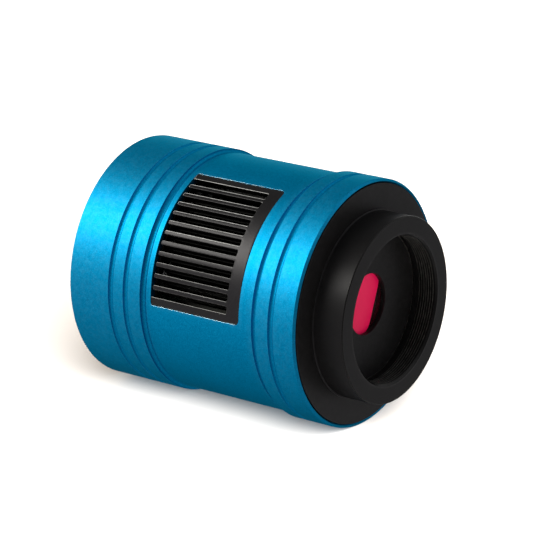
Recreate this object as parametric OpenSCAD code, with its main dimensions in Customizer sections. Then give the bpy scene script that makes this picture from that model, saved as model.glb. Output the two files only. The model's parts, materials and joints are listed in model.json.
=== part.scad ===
// Cooled astronomy camera: a cylindrical camera body that lies on its side.
// Row frame: the optical axis lies along Y and the sensor looks towards -Y,
// +Z is up, and the origin is the centre of the front face of the T2 adapter.
// Every piece is drawn upright in its own camera frame (z = distance behind the
// front face, x = towards the vent on the upper left, y = at right angles to it)
// and is then laid on its side by lay().

/* [Body] */
// Outside diameter of the two end bands of the shell
body_d = 70; // [69.5:0.1:71]
// Outside diameter of the recessed middle of the shell
mid_d = 68; // [67.8:0.1:68.4]
// Length of the shell from front edge to rear rim
body_len = 76.9; // [76.7:0.1:80]
// Roll of the whole camera about its optical axis: angle of the upper vent from straight up
roll = 55.5; // [0:0.5:90]
// Turned grooves, distances of their centres from the rear rim
groove_from_rear = [14.5, 19.7, 25.68, 63.37, 68.95];
// Radius of the grooving tool
groove_r = 0.85; // [0.6:0.05:1]
// Radius of the larger groove where the front band steps down
step_groove_r = 1.13; // [0.9:0.01:1.3]
// Size of the bevel on the front edge, along the axis and across it
front_bevel = [0.78, 1.14];

/* [Vents] */
// Distance of the vent's rear edge from the rear rim
vent_start = 27.9; // [27:0.1:29]
// Length of a vent along the axis
vent_len = 29.9; // [28:0.1:30]
// Width of a vent, measured straight across
vent_w = 39.15; // [37:0.05:40]
// Number of slots in each vent
slots = 12; // [10:1:13]
// Pitch of the slots
slot_pitch = 3.02; // [2.8:0.01:3.05]
// Width of one slot
slot_w = 1.88; // [1.2:0.02:2]
// Solid border in front of the slots
vent_front_border = 4.1; // [3:0.1:6]

/* [Adapter] */
// Outside diameter of the T2 adapter
adapter_d = 52.7; // [52:0.1:54]
// How far the adapter stands out of the front flange
adapter_len = 9.5; // [9:0.1:9.9]
// Minor diameter of the M42x0.75 thread, at its crests
thread_minor_d = 41.2; // [41.1:0.05:41.3]
// Pitch of the thread
thread_pitch = 0.75; // [0.7:0.05:0.8]
// Number of crests
thread_crests = 7; // [5:1:7]

/* [Window] */
// Diameter of the round aperture in the dished front plate
aperture_d = 17.4; // [14:0.2:19]
// Diameter of the protective window
window_d = 21; // [19:0.5:21]

/* [Cooling] */
// Number of fins each side of the middle one
fin_pairs = 8; // [5:1:8]
// Thickness of a fin
fin_t = 1.2; // [0.8:0.1:1.4]
// Side of the square fan frame
fan_w = 35; // [35:0.1:35.4]
// Fan centre above the optical axis, in the camera's own upright frame
fan_y = 8; // [7.5:0.1:8]
// Number of fan blades
blades = 7; // [5:1:9]
// Pitch of the fan blades
blade_pitch = 38; // [30:1:45]

/* [Hidden] */
$fn = 96;
e = 0.01;
body_r = body_d/2;
mid_r = mid_d/2;
in_r = 32;                       // bore of the shell
z_fl = adapter_len;              // front face of the flange and front edge of the shell
z_end = adapter_len + body_len;  // rear rim
function zr(s) = z_end - s;      // z of a distance from the rear rim
rim_r = body_r - front_bevel[1]; // flange seat radius at the front edge
v0 = zr(vent_start + vent_len);  // vent front edge
v1 = zr(vent_start);             // vent rear edge
slot0 = v0 + vent_front_border;
slot1 = v1 - 0.55;               // ends of the bars
tie_r = 28;                      // tie rods: radius of their circle
tie_a = 43;                      // and angle from the vent direction
z_cov = zr(3.5);                 // inside of the rear cover
z_out = zr(1.5);                 // outside of the rear cover
z_fan = z_cov - 10;              // front of the fan frame
z_base = 28;                     // front of the heat sink base
z_win = 10.8;                    // front of the protective window
z_lead = 25.85;                  // cooler leads
post_x = 17.2;                   // posts of the rear board
usb_x = -9;
dc_x = 9;
port_y = -18;
led_y = -26.6;

blue = [0.0, 0.47, 0.70];
black = [0.07, 0.07, 0.075];
steel = [0.72, 0.72, 0.74];
darksteel = [0.16, 0.16, 0.17];
pcb = [0.05, 0.22, 0.12];

// ---------- helpers ----------
// lays the upright camera frame on its side, as it rests on a table
module lay() rotate([0, 270 - roll, 0]) rotate([-90, 0, 0]) children();

// plain ring or disc between two heights
module ring(r1, r0, z0, z1) difference() {
    translate([0, 0, z0]) cylinder(r = r1, h = z1 - z0);
    if (r0 > 0) translate([0, 0, z0 - 1]) cylinder(r = r0, h = z1 - z0 + 2);
}
module disc(r, z0, z1) translate([0, 0, z0]) cylinder(r = r, h = z1 - z0);
module block(x, y, z0, z1) translate([-x/2, -y/2, z0]) cube([x, y, z1 - z0]);
// rectangle with round corners
module rrect(x, y, r) {
    square([x - 2*r, y], center = true);
    square([x, y - 2*r], center = true);
    for (i = [-1, 1], j = [-1, 1]) translate([i*(x/2 - r), j*(y/2 - r)]) circle(r = r);
}
module rblock(x, y, r, z0, z1) translate([0, 0, z0]) linear_extrude(z1 - z0) rrect(x, y, r);
// countersunk screw with its head's face at z = 0 and its shank towards -z
module csk_screw(rs, rh, len, drive) difference() {
    union() {
        translate([0, 0, -0.35]) cylinder(r = rh, h = 0.35, $fn = 48);
        translate([0, 0, -0.35 - (rh - rs)]) cylinder(r1 = rs, r2 = rh, h = rh - rs, $fn = 48);
        translate([0, 0, -len]) cylinder(r = rs, h = len - 0.3 - (rh - rs), $fn = 48);
    }
    translate([0, 0, -1.1]) cylinder(r = drive, h = 2, $fn = 6);
}
// the hole that such a screw needs
module csk_hole(rs, rh, len) {
    translate([0, 0, -0.4]) cylinder(r = rh + 0.08, h = 2, $fn = 48);
    translate([0, 0, -0.4 - (rh - rs)]) cylinder(r1 = rs + 0.08, r2 = rh + 0.08, h = rh - rs, $fn = 48);
    translate([0, 0, -len]) cylinder(r = rs + 0.08, h = len, $fn = 48);
}
// pan-head screw, head from z = 0 to hh, shank towards -z
module pan_screw(rs, rh, hh, len) difference() {
    union() {
        cylinder(r = rh, h = hh, $fn = 40);
        translate([0, 0, -len]) cylinder(r = rs, h = len + 0.1, $fn = 40);
    }
    translate([0, 0, hh*0.4]) for (q = [0, 90]) rotate([0, 0, q]) translate([-rh*0.62, -rh*0.13, 0]) cube([rh*1.24, rh*0.26, hh]);
}
module ties() for (s = [0, 180], q = [-tie_a, tie_a]) rotate([0, 0, s + q]) translate([tie_r, 0, 0]) rotate([0, 0, -s - q]) children();
module fan_corners() for (i = [-1, 1], j = [-1, 1]) translate([i*14.5, fan_y + j*14.5, 0]) children();
module four(r) for (q = [45:90:315]) rotate([0, 0, q]) translate([r, 0, 0]) children();

// ---------- outside ----------
// outline of a vent, seen straight on (first axis along the body), smaller by g
module vent_outline(g) {
    l = vent_len - 2*g;
    w = vent_w - 2*g;
    translate([(v0 + v1)/2, 0]) {
        square([l - 2.4, w], center = true);
        square([l, w - 2.4], center = true);
        for (j = [-1, 1]) {
            translate([-l/2 + 1.2, j*(w/2 - 1.2)]) circle(r = 1.2, $fn = 32);
            translate([l/2 - 0.7, j*(w/2 - 0.7)]) circle(r = 0.7, $fn = 32);
            translate([l/2 - 0.7 - 0.6, j*(w/2 - 0.7)]) square([1.2, 1.4], center = true);
            translate([l/2 - 0.35, j*(w/2 - 0.95)]) square([0.7, 0.5], center = true);
        }
    }
}
// runs a drawing out sideways from x = x0 to x = x1
module sideways(x0, x1) translate([x0, 0, 0]) rotate([0, 90, 0]) linear_extrude(x1 - x0) mirror([1, 0]) children();

module body_shell() color(blue) lay() difference() {
    rotate_extrude() difference() {
        polygon([
            [in_r, z_fl + 4], [rim_r + 0.05, z_fl + 4], [rim_r + 0.05, z_fl],
            [rim_r + 0.12, z_fl], [body_r, z_fl + front_bevel[0]],
            [body_r, zr(groove_from_rear[3])], [mid_r, zr(groove_from_rear[3])],
            [mid_r, zr(groove_from_rear[2])], [body_r, zr(groove_from_rear[2])],
            [body_r, z_end - 0.35], [body_r - 0.35, z_end], [in_r + 0.5, z_end], [in_r, z_end - 0.5],
            [in_r, z_cov], [in_r - 0.7, z_cov], [in_r - 0.7, z_cov - 1.3], [in_r, z_cov - 2]]);
        for (k = [0, 1, 4]) translate([body_r + 0.05, zr(groove_from_rear[k])]) circle(r = groove_r, $fn = 32);
        translate([body_r - 0.35, zr(groove_from_rear[2])]) circle(r = groove_r + 0.05, $fn = 32);
        translate([body_r - 0.7, zr(groove_from_rear[3]) + 0.27]) circle(r = step_groove_r, $fn = 32);
    }
    for (s = [0, 180]) rotate([0, 0, s]) {
        sideways(22, 37) vent_outline(0);
        for (q = [-20, 20]) rotate([0, 0, q]) translate([30, 0, v1 + 1.6]) rotate([0, 90, 0]) cylinder(r = 0.7, h = 3.2, $fn = 32);
    }
}
module vent_grille() difference() {
    union() {
        intersection() {
            ring(mid_r - 0.03, 30.8, v0 - 3, v1 + 4);
            sideways(20, 37) vent_outline(0.12);
        }
        // lip behind the shell
        intersection() {
            ring(in_r - 0.05, 30.8, v0 - 2, v1 + 3);
            sideways(20, 37) translate([v0 - 3, -vent_w/2 - 1.6]) square([vent_len + 7, vent_w + 3.2]);
        }
    }
    sideways(20, 37) for (k = [0:slots - 1]) translate([slot0, (k - (slots - 1)/2)*slot_pitch]) {
        translate([0.4, -slot_w/2]) square([slot1 + 0.05 - slot0 - 0.4, slot_w]);
        translate([0, -slot_w/2 + 0.4]) square([1, slot_w - 0.8]);
        for (j = [-1, 1]) translate([0.4, j*(slot_w/2 - 0.4)]) circle(r = 0.4, $fn = 32);
    }
    // sunk rail behind the ends of the bars
    difference() {
        sideways(20, 37) translate([slot1, -(slots - 1)/2*slot_pitch - slot_w/2]) square([v1 - 0.12 - slot1, (slots - 1)*slot_pitch + slot_w]);
        disc(in_r + 0.5, v0, v1 + 1);
    }
    for (q = [-20, 20]) rotate([0, 0, q]) translate([30, 0, v1 + 1.6]) rotate([0, 90, 0]) cylinder(r = 0.85, h = 3, $fn = 32);
}
module vent_grille_upper() color([0.13, 0.13, 0.135]) lay() vent_grille();
module vent_grille_lower() color([0.13, 0.13, 0.135]) lay() rotate([0, 0, 180]) vent_grille();
module grille_screws() color(steel) lay() for (s = [0, 180], q = [-20, 20])
    rotate([0, 0, s + q]) translate([30.76, 0, v1 + 1.6]) rotate([0, -90, 0]) pan_screw(0.68, 1.3, 0.7, 2.2);

module front_flange() color(black) lay() difference() {
    union() {
        // disc in the front of the shell, with its dished central plate and the chamber wall behind
        rotate_extrude() polygon([
            [0, z_fl + 1.2], [aperture_d/2, z_fl - 0.25], [21.0, z_fl - 1.4], [21.55, z_fl - 1.25],
            [21.55, z_fl + 3.1], [24.05, z_fl + 3.1], [24.05, z_fl],
            [rim_r - 0.03, z_fl], [rim_r - 0.03, z_fl + 4], [in_r - 0.1, z_fl + 4], [in_r - 0.1, 16],
            [21, 16], [21, z_base], [16, z_base], [16, 16], [0, 16]]);
    }
    disc(aperture_d/2, 5, 13);
    disc(window_d/2 + 0.1, z_win, 17);
    disc(12.05, 14, 17);
    ring(10.35, 9.2, z_win - 1, z_win + 0.1);
    // o-ring groove in the end of the chamber wall
    ring(17.9, 16.5, z_base - 0.9, z_base + 1);
    four(19.4) disc(0.85, 20, 30);
    for (i = [-10, 10], j = [-10, 10]) translate([i, j, 13.4]) cylinder(r = 0.85, h = 4, $fn = 32);
    four(26) disc(0.85, 13.2, 17);
    // feed-throughs for the flex and the cooler leads
    translate([-6.3, 14, 18.9]) cube([12.6, 9, 0.7]);
    for (x = [-1.6, 1.6]) translate([x, -12, z_lead]) rotate([90, 0, 0]) cylinder(r = 0.7, h = 12, $fn = 24);
}

// thread as rings of the real pitch: crests, 60 degree flanks and roots
function thread_pts(k) = let (z = 0.62 + k*thread_pitch, rc = thread_minor_d/2, rr = 20.98)
    [[rc, z], [rc, z + 0.2], [rr, z + 0.42], [rr, z + 0.53]];
module t2_adapter() color(black) lay() rotate_extrude() polygon(concat(
    [[21.28, 0], [thread_minor_d/2 + 0.2, 0.62]],
    [for (k = [0:thread_crests - 1]) each thread_pts(k)],
    [[21.6, 0.62 + thread_crests*thread_pitch + 0.25], [21.6, z_fl + 3],
     [24, z_fl + 3], [24, z_fl], [adapter_d/2 - 0.15, z_fl], [adapter_d/2, z_fl - 0.15],
     [adapter_d/2, 0.35], [adapter_d/2 - 0.35, 0]]));

// ---------- sensor chamber ----------
module window_o_ring() color(darksteel) lay() rotate_extrude() translate([9.77, z_win - 0.5]) circle(r = 0.49, $fn = 32);
module protective_window() color([0.80, 0.12, 0.33]) lay() rotate_extrude() polygon([
    [0, z_win], [window_d/2 - 0.2, z_win], [window_d/2, z_win + 0.2], [window_d/2, 13.8], [window_d/2 - 0.2, 14], [0, 14]]);
module window_retainer() color(darksteel) lay() difference() {
    ring(12, 9.2, 14, 15.9);
    for (q = [0, 180]) rotate([0, 0, q]) translate([8.5, -0.6, 15.2]) cube([3, 1.2, 2]);
}
module sensor_cover_glass() color([0.75, 0.85, 0.88]) lay() rblock(17, 13, 0.5, 16.4, 16.9);
module sensor_die() color([0.20, 0.16, 0.30]) lay() block(13.2, 8.8, 17.5, 17.9);
module sensor_package() color([0.85, 0.80, 0.72]) lay() difference() {
    rblock(19.6, 16, 0.6, 16.9, 19.4);
    block(15, 11, 16, 17.9);
}
module board_outline(w) intersection() { circle(r = 15.3); square([28, w], center = true); }
module sensor_board() color(pcb) lay() translate([0, 0, 19.4]) linear_extrude(1.4) difference() {
    board_outline(24);
    square([13, 11], center = true);
    for (i = [-10, 10], j = [-10, 10]) translate([i, j]) circle(r = 0.9, $fn = 32);
}
module sensor_board_spacers() color("white") lay() for (i = [-10, 10], j = [-10, 10]) translate([i, j, 0]) ring(1.55, 0.9, 16, 19.4);
module insulating_frame() color([0.93, 0.92, 0.88]) lay() difference() {
    translate([0, 0, 20.8]) linear_extrude(1.6) difference() { board_outline(26); square([13, 11], center = true); }
    for (i = [-10, 10], j = [-10, 10]) translate([i, j, 0]) { disc(0.9, 20, 23); disc(1.5, 21.6, 23); }
}
module sensor_board_screws() color(steel) lay() for (i = [-10, 10], j = [-10, 10]) translate([i, j, 21.6]) pan_screw(0.8, 1.4, 0.75, 7.6);
module sensor_flex() color([0.80, 0.55, 0.15]) lay() translate([-6, 9.2, 19.1]) cube([12, 16.6, 0.28]);
module flex_sockets() color([0.92, 0.90, 0.84]) lay() {
    translate([-7, 8.6, 17.8]) cube([14, 3, 1.25]);
    translate([-7, 23.2, 17.8]) cube([14, 3.2, 1.25]);
}
module cold_finger() color([0.80, 0.45, 0.25]) lay() { block(12.6, 10.6, 19.4, 22.6); rblock(20, 20, 0.8, 22.6, 24.1); }
module cold_side_pad() color([0.75, 0.75, 0.78]) lay() block(19.8, 19.8, 24.1, 24.3);
module peltier_cold_plate() color([0.95, 0.95, 0.93]) lay() block(20, 20, 24.3, 25);
module peltier_elements() color([0.45, 0.46, 0.50]) lay() for (i = [-3:3], j = [-3:3]) if (abs(i) + abs(j) < 6) translate([i*2.7, j*2.7, 0]) block(1.4, 1.4, 25, 26.6);
module peltier_hot_plate() color([0.95, 0.95, 0.93]) lay() block(20, 20, 26.6, 27.3);
module hot_side_pad() color([0.75, 0.75, 0.78]) lay() block(19.8, 19.8, 27.3, 27.5);
module peltier_leads() color([0.70, 0.10, 0.10]) lay() for (x = [-1.6, 1.6]) translate([x, 0, 0]) {
    translate([0, -10.1, z_lead]) rotate([90, 0, 0]) cylinder(r = 0.6, h = 13.9, $fn = 24);
    translate([0, -24, 21.02]) cylinder(r = 0.6, h = z_lead - 21.02, $fn = 24);
    translate([0, -24, z_lead]) sphere(r = 0.6, $fn = 24);
}
module desiccant_tablets() color([0.90, 0.90, 0.95]) lay() for (s = [0, 180]) rotate([0, 0, s]) translate([13.1, 0, 24.6]) cylinder(r = 2.4, h = 2.6, $fn = 48);
module chamber_o_ring() color(darksteel) lay() rotate_extrude() translate([17.2, z_base - 0.46]) circle(r = 0.44, $fn = 32);

// ---------- cooling ----------
module heat_sink() color([0.10, 0.10, 0.105]) lay() difference() {
    union() {
        disc(30.6, z_base, 32);
        block(21.6, 21.6, 27.5, z_base + 1);
        intersection() {
            for (k = [-fin_pairs:fin_pairs]) {
                y = k*3;
                w = abs(y) > 13 ? min(17.4, sqrt(29.4*29.4 - y*y)) : sqrt(29.4*29.4 - y*y);
                translate([-w, y - fin_t/2, 31.9]) cube([2*w, fin_t, 26.1]);
            }
            disc(29.4, 31, 59);
        }
    }
    ties() disc(1.28, 27, 33);
    four(19.4) { disc(1.1, 27, 60); disc(2.2, 30, 60); }
    translate([-8, -32, 27]) cube([16, 3.6, 6]);
}
module heat_sink_screws() color(steel) lay() four(19.4) translate([0, 0, 30]) pan_screw(0.8, 1.9, 1.4, 8);
module main_board() color(pcb) lay() translate([0, 0, 19.4]) linear_extrude(1.6) difference() {
    circle(r = 30.8);
    circle(r = 21.6);
    four(26) circle(r = 1.1, $fn = 32);
}
module main_board_chips() color([0.10, 0.10, 0.11]) lay() {
    for (s = [[0, 7.6, 9, 1.3], [24, 6.5, 9, 1.1], [-24, 6.5, 9, 1.1], [180, 7, 7, 1.6], [158, 5, 5, 3], [203, 5, 5, 3], [68, 4, 4, 1], [112, 4, 4, 1], [290, 4.4, 5, 2.2], [250, 4.4, 5, 2.2]])
        rotate([0, 0, s[0]]) translate([26.2 - s[1]/2, -s[2]/2, 21]) cube([s[1], s[2], s[3]]);
}
module main_board_standoffs() color(steel) lay() four(26) difference() {
    union() { translate([0, 0, 16]) cylinder(r = 2.3, h = 3.4, $fn = 6); disc(0.82, 13.6, 17); }
    disc(0.85, 16.6, 20);
}
module main_board_screws() color(steel) lay() four(26) translate([0, 0, 21]) pan_screw(0.82, 1.8, 1.1, 4);
module link_ribbon() color([0.55, 0.56, 0.58]) lay() for (k = [0:9]) translate([-6 + k*1.2, -30.3, 21.02]) cube([1.1, 1, 45.9]);
module tie_rods() color([0.75, 0.76, 0.78]) lay() ties() difference() {
    union() {
        translate([0, 0, 32]) cylinder(r = 4.5/sqrt(3), h = z_cov - 32, $fn = 6);
        disc(1.22, 28.4, 33);
    }
    disc(1.28, z_cov - 8, z_cov + 1);
}

// ---------- fan ----------
module fan_frame() color([0.09, 0.09, 0.10]) lay() translate([0, fan_y, 0]) difference() {
    union() {
        difference() {
            rblock(fan_w, fan_w, 3, z_fan, z_cov);
            disc(16.3, z_fan - 1, z_cov + 1);
            // lightening pockets between the corner posts
            for (q = [0:90:270]) rotate([0, 0, q]) {
                translate([-10, fan_w/2 - 1.1, z_fan + 1.6]) cube([5, 3, 6.8]);
                translate([5, fan_w/2 - 1.1, z_fan + 1.6]) cube([5, 3, 6.8]);
            }
        }
        disc(9, z_fan, z_fan + 1.1);
        intersection() {
            for (q = [20:90:290]) rotate([0, 0, q]) translate([8, -0.9, z_fan]) cube([9.5, 1.8, 1.4]);
            disc(16.6, z_fan - 1, z_fan + 3);
        }
        disc(3.2, z_fan, z_fan + 6.6);
    }
    disc(2.6, z_fan + 0.4, z_cov);
    for (i = [-1, 1], j = [-1, 1]) translate([i*14.5, j*14.5, 0]) disc(1.55, z_fan - 1, z_cov + 1);
}
module fan_stator() color([0.65, 0.35, 0.15]) lay() translate([0, fan_y, 0]) difference() {
    union() {
        disc(5, z_fan + 1.9, z_fan + 5.6);
        for (q = [0:60:300]) rotate([0, 0, q]) {
            translate([4, -0.9, z_fan + 2.5]) cube([3, 1.8, 2.5]);
            intersection() {
                translate([6, -2.9, z_fan + 2.3]) cube([3, 5.8, 2.9]);
                ring(7.35, 6.4, z_fan, z_fan + 8);
            }
            translate([5.05, -1.5, z_fan + 2]) cube([1.2, 3, 3.5]);
        }
    }
    disc(3.25, z_fan, z_fan + 9);
}
module fan_bearings() color(steel) lay() translate([0, fan_y, 0]) for (z = [z_fan + 1.5, z_fan + 4.1]) difference() {
    disc(2.56, z, z + 2.3);
    disc(1.03, z - 1, z + 3);
    ring(2.1, 1.5, z + 2.15, z + 3);
    ring(2.1, 1.5, z - 1, z + 0.15);
}
// hub cup and pitched blades in one moulding
module fan_rotor() color([0.11, 0.11, 0.12]) lay() translate([0, fan_y, 0]) difference() {
    union() {
        disc(9.2, z_fan + 2, z_fan + 8.7);
        intersection() {
            for (k = [0:blades - 1]) rotate([0, 0, k*360/blades]) translate([12, 0, z_fan + 5.3]) rotate([blade_pitch, 0, 0])
                translate([-4, -5.2, -0.4]) cube([8, 10.4, 0.8]);
            ring(15.7, 9, z_fan + 2, z_fan + 8.5);
        }
    }
    disc(8.4, z_fan + 1, z_fan + 7.6);
    disc(1.0, z_fan + 1, z_fan + 8.2);
}
module fan_magnet() color([0.30, 0.30, 0.32]) lay() translate([0, fan_y, 0]) ring(8.38, 7.75, z_fan + 2.2, z_fan + 7);
module fan_shaft() color(steel) lay() translate([0, fan_y, 0]) difference() {
    disc(0.99, z_fan + 0.6, z_fan + 8.18);
    ring(2, 0.75, z_fan + 0.95, z_fan + 1.25);
}
module shaft_clip() color(darksteel) lay() translate([0, fan_y, 0]) ring(1.9, 0.76, z_fan + 0.98, z_fan + 1.22);
module fan_lead() color([0.12, 0.12, 0.13]) lay() for (x = [-1, 1]) translate([x*0.9, 0, 0]) {
    translate([0, -9.55, z_fan + 0.6]) rotate([90, 0, 0]) cylinder(r = 0.5, h = 2.6, $fn = 24);
    translate([0, -12.15, 68.65]) cylinder(r = 0.5, h = z_fan + 0.6 - 68.65, $fn = 24);
    translate([0, -12.15, z_fan + 0.6]) sphere(r = 0.5, $fn = 24);
}
module fan_screws() color(darksteel) lay() fan_corners() translate([0, 0, z_out]) csk_screw(1.48, 2.8, 9, 0.95);

// ---------- rear ----------
module rear_board() color(pcb) lay() translate([0, 0, 67]) linear_extrude(1.6) difference() {
    intersection() { circle(r = 30.5); translate([-27, -32]) square([54, 21]); }
    for (i = [-1, 1]) {
        translate([i*tie_r*cos(tie_a), -tie_r*sin(tie_a)]) circle(r = 3.3, $fn = 32);
        translate([i*(tie_r*cos(tie_a) + 5), -tie_r*sin(tie_a) - 1]) square([10, 8], center = true);
        translate([i*post_x, -13.2]) circle(r = 0.9, $fn = 32);
    }
}
module rear_board_chips() color([0.10, 0.10, 0.11]) lay() {
    translate([-4, -24.5, 65.8]) cube([7, 7, 1.2]);
    translate([7, -22, 65.4]) cube([5, 5, 1.6]);
    translate([-13, -21, 66]) cube([4, 4, 1]);
}
module rear_board_posts() color(steel) lay() for (i = [-1, 1]) translate([i*post_x, -13.2, 0]) difference() {
    union() { disc(1.5, 68.6, z_cov); disc(0.9, z_cov - 1, z_cov + 1.2); }
    disc(0.85, 60, 73);
}
module rear_board_screws() color(steel) lay() for (i = [-1, 1]) translate([i*post_x, -13.2, 67]) rotate([180, 0, 0]) pan_screw(0.8, 1.6, 1, 5);
// USB 3.0 type B shell, stepped at its top like the plug
module usb_outline(g) {
    translate([0, -1.6]) square([9 + 2*g, 6.2 + 2*g], center = true);
    translate([0, 2.3]) square([6.8 + 2*g, 5 + 2*g], center = true);
}
module usb_socket() color(steel) lay() translate([usb_x, port_y, 0]) difference() {
    rblock(12, 11.6, 0.4, 68.6, z_out + 0.3);
    translate([0, 0, 73]) linear_extrude(20) usb_outline(0);
}
module usb_tongue() color([0.05, 0.30, 0.62]) lay() translate([usb_x, port_y, 0]) union() {
    block(5.6, 3.2, 73, z_out - 1);
    translate([0, 3.1, 0]) block(4.6, 1.5, 73, z_out - 1);
    translate([0, -0.4, 0]) block(6, 7.4, 73, 74);
}
module dc_jack() color([0.08, 0.08, 0.085]) lay() translate([dc_x, port_y, 0]) difference() {
    union() {
        disc(4.4, 68.6, z_out + 0.5);
        disc(5.6, 68.6, z_cov - 0.3);
    }
    disc(2.9, 74, z_end + 1);
    translate([0, 0, z_out]) cylinder(r1 = 2.9, r2 = 3.45, h = 0.6);
}
module dc_jack_pin() color(steel) lay() translate([dc_x, port_y, 0]) { disc(1.0, 74, z_out - 1); disc(1.0, z_out - 1, z_out - 0.9); }
module light_pipe() color([0.85, 0.90, 0.92]) lay() translate([0, led_y, 0]) rotate_extrude() polygon([
    [0, 68.6], [2.2, 68.6], [2.2, 70.4], [1.5, 70.6], [1.5, z_out + 0.1], [1.1, z_out + 0.45], [0, z_out + 0.55]]);
module rear_cover() color([0.08, 0.08, 0.085]) lay() difference() {
    rotate_extrude() polygon([[0, z_cov], [in_r - 0.1, z_cov], [in_r - 0.1, z_out - 0.3], [in_r - 0.4, z_out], [0, z_out]]);
    // air intake: rings of slots with six spokes
    translate([0, fan_y, 0]) difference() {
        union() for (r = [5.0, 7.9, 10.8, 13.7]) ring(r + 1.9, r, z_cov - 1, z_out + 1);
        for (q = [0:60:120]) rotate([0, 0, q]) translate([-17, -0.9, z_cov - 2]) cube([34, 1.8, 5]);
    }
    translate([usb_x, port_y, 0]) rblock(12.2, 11.8, 0.5, z_cov - 1, z_out + 1);
    translate([dc_x, port_y, 0]) disc(4.5, z_cov - 1, z_out + 1);
    translate([0, led_y, 0]) disc(1.6, z_cov - 1, z_out + 1);
    ties() translate([0, 0, z_out]) csk_hole(1.22, 2.3, 3);
    fan_corners() translate([0, 0, z_out]) csk_hole(1.48, 2.8, 3);
    for (i = [-1, 1]) translate([i*post_x, -13.2, 0]) disc(0.95, z_cov - 1, z_cov + 1.3);
}
module rear_cover_screws() color(darksteel) lay() ties() translate([0, 0, z_out]) csk_screw(1.22, 2.3, 7, 0.8);

body_shell();
front_flange();
t2_adapter();
vent_grille_upper();
vent_grille_lower();
grille_screws();
window_o_ring();
protective_window();
window_retainer();
sensor_cover_glass();
sensor_die();
sensor_package();
sensor_board();
sensor_board_spacers();
insulating_frame();
sensor_board_screws();
sensor_flex();
flex_sockets();
cold_finger();
cold_side_pad();
peltier_cold_plate();
peltier_elements();
peltier_hot_plate();
hot_side_pad();
peltier_leads();
desiccant_tablets();
chamber_o_ring();
heat_sink();
heat_sink_screws();
main_board();
main_board_chips();
main_board_standoffs();
main_board_screws();
link_ribbon();
tie_rods();
fan_frame();
fan_stator();
fan_bearings();
fan_rotor();
fan_magnet();
fan_shaft();
shaft_clip();
fan_lead();
fan_screws();
rear_board();
rear_board_chips();
rear_board_posts();
rear_board_screws();
usb_socket();
usb_tongue();
dc_jack();
dc_jack_pin();
light_pipe();
rear_cover();
rear_cover_screws();
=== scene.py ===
import bpy
import json
import math
import numpy as np
from mathutils import Matrix, Vector
from mathutils.geometry import delaunay_2d_cdt

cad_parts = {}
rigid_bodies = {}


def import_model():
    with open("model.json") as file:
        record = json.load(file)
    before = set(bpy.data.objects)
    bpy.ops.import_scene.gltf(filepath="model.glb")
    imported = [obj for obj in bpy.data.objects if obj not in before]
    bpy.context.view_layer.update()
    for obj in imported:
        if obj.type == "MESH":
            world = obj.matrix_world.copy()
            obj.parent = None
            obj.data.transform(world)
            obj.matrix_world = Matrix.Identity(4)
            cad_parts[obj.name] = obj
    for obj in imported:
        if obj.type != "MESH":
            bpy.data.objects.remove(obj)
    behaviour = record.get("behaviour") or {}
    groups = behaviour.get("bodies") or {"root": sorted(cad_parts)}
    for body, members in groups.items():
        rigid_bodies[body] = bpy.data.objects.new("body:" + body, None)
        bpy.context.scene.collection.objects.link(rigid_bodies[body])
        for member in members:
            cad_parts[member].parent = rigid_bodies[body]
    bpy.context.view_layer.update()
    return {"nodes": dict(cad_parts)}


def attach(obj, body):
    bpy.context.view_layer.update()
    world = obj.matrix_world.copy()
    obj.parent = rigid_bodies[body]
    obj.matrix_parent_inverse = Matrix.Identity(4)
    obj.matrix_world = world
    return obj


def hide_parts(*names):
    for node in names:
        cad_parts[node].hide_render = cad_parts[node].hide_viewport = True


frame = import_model()
NODES = frame["nodes"]

# ---------------------------------------------------------------- camera's own upright frame
# Pieces are drawn in millimetres in the camera's own frame: z = distance behind the front face,
# x = towards the upper vent, y at right angles. row() lays a point on its side, as the CAD does.
ROLL = math.radians(55.5)
AX = (-math.sin(ROLL), math.cos(ROLL))
AY = (math.cos(ROLL), math.sin(ROLL))
MM = 0.001


def row(p):
    x, y, z = p
    return ((x * AX[0] + y * AY[0]) * MM, z * MM, (x * AX[1] + y * AY[1]) * MM)


# ---------------------------------------------------------------- mesh tools
class Build:
    """Collects points (mm), faces, an edge mark for each point (wear, partly a painted highlight) and a material for
    each face.
    """

    def __init__(self):
        self.v, self.w, self.f, self.m = [], [], [], []

    def pt(self, x, y, z, w=0.0):
        self.v.append((x, y, z))
        self.w.append(w)
        return len(self.v) - 1

    def loop(self, pts, w=0.0):
        return [self.pt(*p, w) for p in pts]

    def face(self, idx, mat=0):
        clean = []
        for i in idx:
            if i not in clean:
                clean.append(i)
        if len(clean) > 2:
            self.f.append(clean)
            self.m.append(mat)

    def band(self, a, b, mat=0, closed=True, flip=False):
        n = len(a)
        for j in range(n if closed else n - 1):
            k = (j + 1) % n
            q = [a[j], a[k], b[k], b[j]]
            self.face(q[::-1] if flip else q, mat)

    def make(self, name, body, mats, replaces=(), weld=True, place=row):
        me = bpy.data.meshes.new(name)
        me.from_pydata([place(p) for p in self.v], [], self.f)
        at = me.attributes.new("wear", "FLOAT", "POINT")
        at.data.foreach_set("value", np.array(self.w, np.float32))
        me.polygons.foreach_set("material_index", np.array(self.m, np.int32))
        for m in mats:
            me.materials.append(m)
        me.polygons.foreach_set("use_smooth", np.ones(len(me.polygons), bool))
        me.validate()
        me.update()
        o = bpy.data.objects.new(name, me)
        bpy.context.scene.collection.objects.link(o)
        if weld:
            wd = o.modifiers.new("weld", "WELD")
            wd.merge_threshold = 2e-6
        wn = o.modifiers.new("normals", "WEIGHTED_NORMAL")
        wn.keep_sharp = True
        wn.weight = 50
        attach(o, body)
        if replaces:
            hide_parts(*replaces)
        return o


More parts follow.
